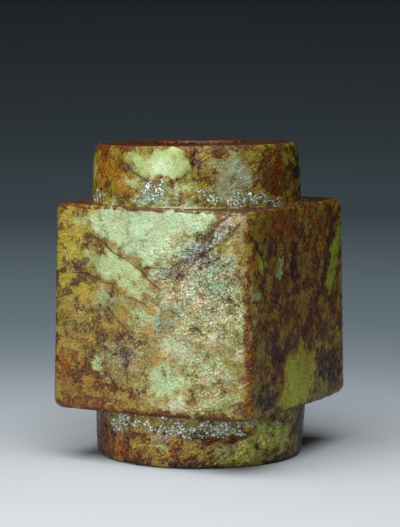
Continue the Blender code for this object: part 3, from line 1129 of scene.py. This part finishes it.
RUST_LINE = 56 * MM
RUST_FADE = 20 * MM
height = spots[:, 2]
plan = spots[:, :2]
to_the_right = spots[:, 0] / MM
from_collar = np.linalg.norm(plan - collar_middle, axis=1) - collar_radius
over_upper = (height - over(upper_shoulder, plan)) / MM
over_lower = (height - over(lower_shoulder, plan)) / MM
under_rim = (over(rim, plan) - height) / MM
to_arris = (half_side - np.abs(plan).min(axis=1)) / MM
on_face = zone_of == "face"
on_shoulder = (zone_of == "shoulder") | (zone_of == "under")
on_rim = zone_of == "rim"
on_collar = zone_of == "collar"
soak(on_face * near(to_arris, 4, 1.1), RED_BROWN, 0.5)
soak(on_face * near(to_arris, 1.3, 1.7), RED_BROWN, 0.92)
low_down = smooth((RUST_LINE - height) / RUST_FADE)
soak(on_face * near(to_arris, 1.2, 1.6, -1) * low_down, RUST, 0.9)
soak(on_face * near(to_arris, 5, 0.35, 0.9), SOOT, 0.9)
soak(on_face * near(np.abs(over_upper + 0.5), 0.9, 1.3, 0.3), UMBER, 0.95)
soak(on_face * near(np.abs(over_upper + 0.9), 0.9, 0.6, -0.9), RED_BROWN, 0.95)
soak(on_face * near(over_lower, 3, 1.2), RUST, 0.65)
soak(on_face * near(over_lower, 1.6, 1.4, 0.3), RED_BROWN, 0.95)
soak(on_face * near(over_lower, 0.9, 1.0, 0.3), SOOT, 0.95)
body[on_shoulder] = RED_BROWN
soak(on_shoulder * 1.0, RED_BROWN, 0.85)
soak(on_shoulder * smooth(0.5 + ragged), UMBER, 0.95)
# Soot towards the right of the shoulders: painted shade on the side away from the key light, over the iron.
soak(on_shoulder * smooth((to_the_right - 10) / 16), SOOT, 0.95)
# The rim land is painted dark red-brown with ragged soot: iron, with painted shade on this top face as well.
body[on_rim] = RED_BROWN
soak(on_rim * 1.0, RED_BROWN, 0.95)
soak(on_rim * smooth(0.6 + ragged), SOOT, 0.98)
at_front = smooth(inside_oval(collar_at(4, 101), 26, 16, 0))
soak(on_collar * smooth(1.3 - under_rim / 2.6 + 0.4 * ragged - 1.2 * at_front), RED_BROWN, 0.9)
away_from_front = smooth((to_the_right - 8) / 10)
soak(on_collar * near(under_rim, 3, 1.4, 0.4) * away_from_front, UMBER, 0.95)
# The foot darkens with soot towards the ground: a painted contact shade, left off in one patch at the front
# right.
unshaded_patch = smooth(inside_oval(foot_at(54, 1), 18, 12, 0))
ground_shade_band = near(height, 2.4 * MM, 1.2, 0.3) - unshaded_patch
soak((zone_of == "foot") * np.clip(ground_shade_band, 0, 1), SOOT, 0.8)
in_corner = near(from_collar, 5 * MM, 1.0, 0.7)
crust[:] = np.maximum(crust, (zone_of == "shoulder") * in_corner * 0.6)
in_bore = (zone_of == "bore") | (zone_of == "mouth")
# The bore is painted dark red-brown under soot: painted shade inside the hole.
body[in_bore] = RED_BROWN
soak(in_bore * 1.0, SOOT, 0.6)
body[zone_of == "base"] = TAN
soak((zone_of == "base") * 1.0, UMBER, 0.5)
print("edges soaked")

# %% [markdown]
# ## Carving the surface
#
# A hand-ground face is not flat: it swells and dips by a tenth of a millimetre. Veins are open cracks, the
# rough bands are pitted and torn along the stone's own slant, and the crust stands proud. All of this moves
# points of the dense block along its own normals, and nothing is moved out past the solid's box.

# %% Relief
SLANT = math.radians(38)
STRETCH = 0.75
SWELL_DEPTH = 0.12
TEAR_DEPTH = 0.42
PIT_DEPTH = 0.6
CRUST_HEIGHT = 0.18
CRUST_GRIT = 0.22
BORE_SHARE = 0.6
along_slant = np.array((math.cos(SLANT), math.cos(SLANT), math.sin(SLANT)))
along_slant /= math.sqrt(1 + math.cos(SLANT) ** 2)
stretched = np.eye(3) - STRETCH * np.outer(along_slant, along_slant)
swell = lumps(15, 21, 2)
tears = lumps(1.9, 22, 2, stretched)
pits = np.minimum(0, lumps(2.4, 23, 3) + 0.1)
grit = lumps(1.5, 24, 2)
relief = SWELL_DEPTH * swell - SWELL_DEPTH
relief += coarse * (TEAR_DEPTH * tears + PIT_DEPTH * pits)
relief += crust * (CRUST_HEIGHT + CRUST_GRIT * grit)
relief -= groove * (1 + 0.4 * ragged)
relief[zone_of == "base"] = 0
relief *= np.where(in_bore, BORE_SHARE, 1.0)
moved = np.clip(spots + normals * (relief * MM)[:, None], low, high)
mesh.vertices.foreach_set("co", moved.ravel())
mesh.update()
print("relief, mm:", round(float(relief.min()), 2), "to", round(float(relief.max()), 2))

# %% Give the paint to the mesh
BODY_BRIGHTNESS = 0.7
CALM = 0.3
MOTTLE = 0.34
HUE_SWING = (0.16, -0.03, -0.22)
REDDENING = (0.2, -0.12, -0.05)


def keep_colour(name, values):
    rows = np.column_stack([values, np.ones(count)])
    mesh.attributes.new(name, "FLOAT_COLOR", "POINT").data.foreach_set("color", rows.ravel())


def keep_number(name, values):
    mesh.attributes.new(name, "FLOAT", "POINT").data.foreach_set("value", np.asarray(values, np.float32))


def vary_cover(change):
    """Makes the iron uneven, and least so where there is hardly any."""
    cover[:] += change * np.clip(3 * cover, 0.1, 1)


lively = CALM + (1 - CALM) * coarse
body *= 1 + (MOTTLE * lively * lumps(6, 41, 3, stretched))[:, None]
body *= 1 + (lively * lumps(9, 42))[:, None] * np.array(HUE_SWING)
body *= 1 + (lively * lumps(3.2, 44, 2))[:, None] * np.array(REDDENING)
vary_cover(0.3 * lumps(3.8, 31) + 0.22 * lumps(1.6, 32, 2))
vary_cover(0.25 * lively * lumps(5.5, 43, 3, stretched))
# Tears and pits hold more iron than the ridges between them.
cover -= 0.5 * coarse * (0.7 * tears + pits + 0.25)
keep_colour("body", body * BODY_BRIGHTNESS)
keep_colour("stain", stain * BODY_BRIGHTNESS)
keep_number("cover", cover)
keep_number("vein", veins)
keep_number("off_vein", np.clip(off_vein, -4, 4))
keep_number("crust", crust)
keep_number("coarse", coarse)
print("paint layers:", [layer.name for layer in mesh.attributes if not layer.name.startswith(".")])

# %% [markdown]
# ## The jade material
#
# The painted layers are soft, because the mesh is only so fine. The material gives them their crisp grain:
# each layer is compared with a fine noise, and wins only where it is stronger. So a cover of a half becomes
# a surface half full of small dark grains, as iron looks in jade. Stone that a saw or a grit has torn has
# its grain drawn out along one slant, so some of the noises are stretched along it. All effects below read
# the same few noises.

# %% The noises
FINE = 1500.0
MIDDLING = 600.0
BROAD = 230.0
TORN = 560.0
SMALL_TORN = 1100.0


def make_reads(wire):
    """The noises and painted layers that the jade's effects read, by name."""
    place = wire.node("TexCoord").outputs["Object"]
    slant = tuple(along_slant)
    along = wire.node("VectorMath", {0: place, 1: slant}, operation="DOT_PRODUCT").outputs["Value"]
    shift = wire.node("VectorMath", {0: slant, "Scale": wire.times(along, -STRETCH)}, operation="SCALE")
    torn_place = wire.node("VectorMath", {0: place, 1: shift.outputs[0]}, operation="ADD").outputs[0]
    torn = wire.grain(torn_place, TORN, 2.0)
    coarse_now = wire.number("coarse")
    return {
        "place": place,
        "fine": wire.grain(place, FINE, 2.0, 0.7),
        "middling": wire.grain(place, MIDDLING, 3.0),
        "broad": wire.grain(place, BROAD, 3.0),
        "torn": torn,
        "wrinkle": wire.off_middle(torn),
        "small wrinkle": wire.off_middle(wire.grain(torn_place, SMALL_TORN, 1.0)),
        "coarse": coarse_now,
        "cover": wire.number("cover"),
        "cloudy": wire.more(CALM, coarse_now, 1 - CALM),
    }


print("grains a metre, fine to broad:", FINE, MIDDLING, BROAD)

# %% Jade and iron
DEEP_CLOUD = (0.78, 0.76, 0.64, 1.0)
PALE_CLOUD = (1.18, 1.18, 1.16, 1.0)
DEEP_IRON = (0.55, 0.5, 0.5, 1.0)
PALE_IRON = (1.5, 1.4, 1.3, 1.0)
WARM_FILTER = (0.86, 0.76, 0.45, 1.0)


def jade_and_iron(wire, reads):
    """The jade's cloudy colour with iron in its grain, and how far the iron has filled it."""
    mineral = wire.blend(wire.times(reads["coarse"], 0.7), reads["middling"], reads["torn"])
    uneven = wire.more(wire.times(reads["broad"], 0.50), mineral, 0.40)
    uneven = wire.more(uneven, reads["fine"], 0.10)
    ahead = wire.sum("SUBTRACT", reads["cover"], wire.step(uneven, 0.37, 0.63))
    stained = wire.step(ahead, -0.15, 0.45)
    clouds = wire.mix(wire.step(reads["broad"], 0.3, 0.7), DEEP_CLOUD, PALE_CLOUD)
    jade = wire.mix(reads["cloudy"], wire.tone("body"), clouds, "MULTIPLY")
    warm_jade = wire.mix(1.0, jade, WARM_FILTER, "MULTIPLY")
    colour = wire.mix(wire.step(ahead, -0.3, 0.35), jade, warm_jade)
    grains = wire.mix(wire.step(reads["fine"], 0.35, 0.65), DEEP_IRON, PALE_IRON)
    iron_tone = wire.mix(1.0, wire.tone("stain"), grains, "MULTIPLY")
    return wire.mix(wire.times(stained, 0.95), colour, iron_tone), stained


print("iron filter over jade:", WARM_FILTER[:3])

# %% [markdown]
# ## Marks in the ground surface
#
# Rough ground has dark creases, with dirt and painted shade in them, and its high points are painted lighter
# as glints. Thin brown threads and specks run through all of the jade. A last neutral grain, partly painted
# glints and painted shade in small pits, keeps even the smooth patches lively. Most of these marks darken or
# lighten the colour that is there, instead of covering it, so that they keep the stone's own colour.

# %% Creases, glints, threads and specks
CREASE_WIDTH = 0.045
CREASE_DIRT_AND_SHADE = (0.32, 0.26, 0.24, 1.0)
GLINT_LIGHTENING = (1.3, 1.3, 1.32, 1.0)
THREADS = 85.0
SPECK_TONE = (0.08, 0.032, 0.012, 1.0)
DARK_GRAIN_AND_PIT_SHADE = (0.6, 0.6, 0.6, 1.0)
LIGHT_GRAIN_AND_GLINTS = (1.44, 1.44, 1.44, 1.0)


def mark(wire, reads, colour):
    """The colour with the marks of a ground and weathered surface, and with painted glints and painted
    shade.
    """
    # Creases in rough ground are darkened: dirt in them, and painted shade.
    folds = wire.sum("MINIMUM", reads["wrinkle"], reads["small wrinkle"])
    dirt_and_shade_in_creases = wire.times(wire.inverse(wire.step(folds, 0.0, CREASE_WIDTH)), reads["coarse"])
    colour = wire.mix(wire.times(dirt_and_shade_in_creases, 0.6), colour, CREASE_DIRT_AND_SHADE, "MULTIPLY")
    # The high points of rough ground are made lighter: painted glints.
    glinting_peaks = wire.step(wire.blend(0.4, reads["fine"], reads["wrinkle"]), 0.33, 0.42)
    colour = wire.mix(wire.times(glinting_peaks, reads["coarse"]), colour, GLINT_LIGHTENING, "MULTIPLY")

    threads = wire.off_middle(wire.grain(reads["place"], THREADS, 4.0, 0.55, 0.6))
    threaded = wire.inverse(wire.step(threads, 0.002, 0.014))
    threaded = wire.times(threaded, wire.step(reads["middling"], 0.42, 0.60))
    threaded = wire.times(threaded, reads["cloudy"])
    colour = wire.mix(wire.times(threaded, 0.5), colour, SPECK_TONE)

    specks = wire.more(wire.grain(reads["place"], FINE, 1.0), reads["cover"], 0.10)
    speckled = wire.step(specks, 0.68, 0.74)
    colour = wire.mix(wire.times(speckled, 0.4), colour, SPECK_TONE)
    # A neutral grain over the colour: the stone's grain, with painted glints and painted shade in small
    # pits.
    grains = wire.mix(wire.step(reads["fine"], 0.37, 0.63), DARK_GRAIN_AND_PIT_SHADE, LIGHT_GRAIN_AND_GLINTS)
    return wire.mix(reads["cloudy"], colour, grains, "MULTIPLY")


print("threads a metre:", THREADS)

# %% Cracks
VEIN_TONE = (0.06, 0.018, 0.011, 1.0)
HALO_TONE = (0.55, 0.33, 0.22, 1.0)
VEIN_WANDER = 1.6


def crack(wire, reads, colour):
    """The colour with dark cracks in rusty halos, and where a crack is open."""
    wander = wire.sum("SUBTRACT", reads["middling"], 0.5)
    off_crack = wire.sum("ABSOLUTE", wire.more(wire.number("off_vein"), wander, VEIN_WANDER))
    near_crack = wire.number("vein")
    cracked = wire.times(wire.inverse(wire.step(off_crack, 0.12, 0.62)), near_crack)
    rusty = wire.times(wire.inverse(wire.step(off_crack, 0.4, 1.9)), near_crack)
    colour = wire.mix(wire.times(rusty, 0.45), colour, HALO_TONE, "MULTIPLY")
    return wire.mix(wire.times(cracked, 0.85), colour, VEIN_TONE), cracked


print("cracks wander, in widths:", VEIN_WANDER / 2)

# %% [markdown]
# ## Crust and polish
#
# Salts from the ground grew in the corners that no hand polished, as a pale crust on a dark green bed. Its
# white points are painted glints on small crystals. The rest of the stone has a soft hand polish, which iron
# and rough ground dull a little. The noises that colour the stone also drive its bump, so a dark crease is a
# fold and a dark crack is a cut.

# %% Salts
SALT_GRAIN = 800.0
CRYSTALS = 1900.0
SALT_GLINT_WHITE = (1.0, 1.0, 0.86, 1.0)
SALT_GREEN = (0.13, 0.20, 0.10, 1.0)


def lay_salts(wire, reads, colour):
    """The colour with a crystalline crust whose white points are painted glints, and where the crust holds.
    """
    salt_grain = wire.blend(0.45, reads["fine"], wire.grain(reads["place"], SALT_GRAIN, 4.0, 0.75))
    held = wire.sum("SUBTRACT", wire.number("crust"), wire.step(salt_grain, 0.30, 0.62))
    crusted = wire.step(held, 0.0, 0.35)
    # White points in the crust: pale crystals with painted glints on them.
    crystals = wire.step(wire.grain(reads["place"], CRYSTALS, 1.0), 0.47, 0.60)
    salt_tone = wire.mix(crystals, SALT_GREEN, SALT_GLINT_WHITE)
    return wire.mix(wire.times(crusted, 0.9), colour, salt_tone), crusted


print("salt crystals a metre:", CRYSTALS)

# %% Polish and bump
POLISH = 0.15
BUMP_DISTANCE = 0.0015
SHINE = 0.22


def make_jade():
    material = bpy.data.materials.new("jade")
    material.use_nodes = True
    wire = Wiring(material.node_tree)
    reads = make_reads(wire)
    colour, stained = jade_and_iron(wire, reads)
    colour = mark(wire, reads, colour)
    colour, cracked = crack(wire, reads, colour)
    colour, crusted = lay_salts(wire, reads, colour)

    dull = wire.more(POLISH, reads["coarse"], 0.03)
    dull = wire.more(dull, stained, 0.05)
    dull = wire.more(dull, crusted, 0.15)

    grit = wire.more(wire.times(wire.step(reads["wrinkle"], 0.0, 0.2), 0.36), reads["fine"], 0.45)
    grit = wire.times(grit, wire.more(0.1, reads["coarse"], 0.9))
    grit = wire.more(grit, crusted, 0.3)
    grit = wire.more(grit, cracked, -0.3)
    bump = wire.node("Bump", {"Strength": 1.0, "Distance": BUMP_DISTANCE, "Height": grit})

    shader = material.node_tree.nodes["Principled BSDF"]
    wire.put(shader.inputs["Base Color"], colour)
    wire.put(shader.inputs["Roughness"], dull)
    wire.put(shader.inputs["Normal"], bump.outputs["Normal"])
    shader.inputs["Specular IOR Level"].default_value = SHINE
    return material


mesh.materials.append(make_jade())
print("nodes in the jade:", len(mesh.materials[0].node_tree.nodes))

# %% Set the stone in place of the solid
stone = bpy.data.objects.new("jade_cong", mesh)
bpy.context.scene.collection.objects.link(stone)
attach(stone, "root")
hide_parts("cong")
print("stone, points:", len(stone.data.vertices))
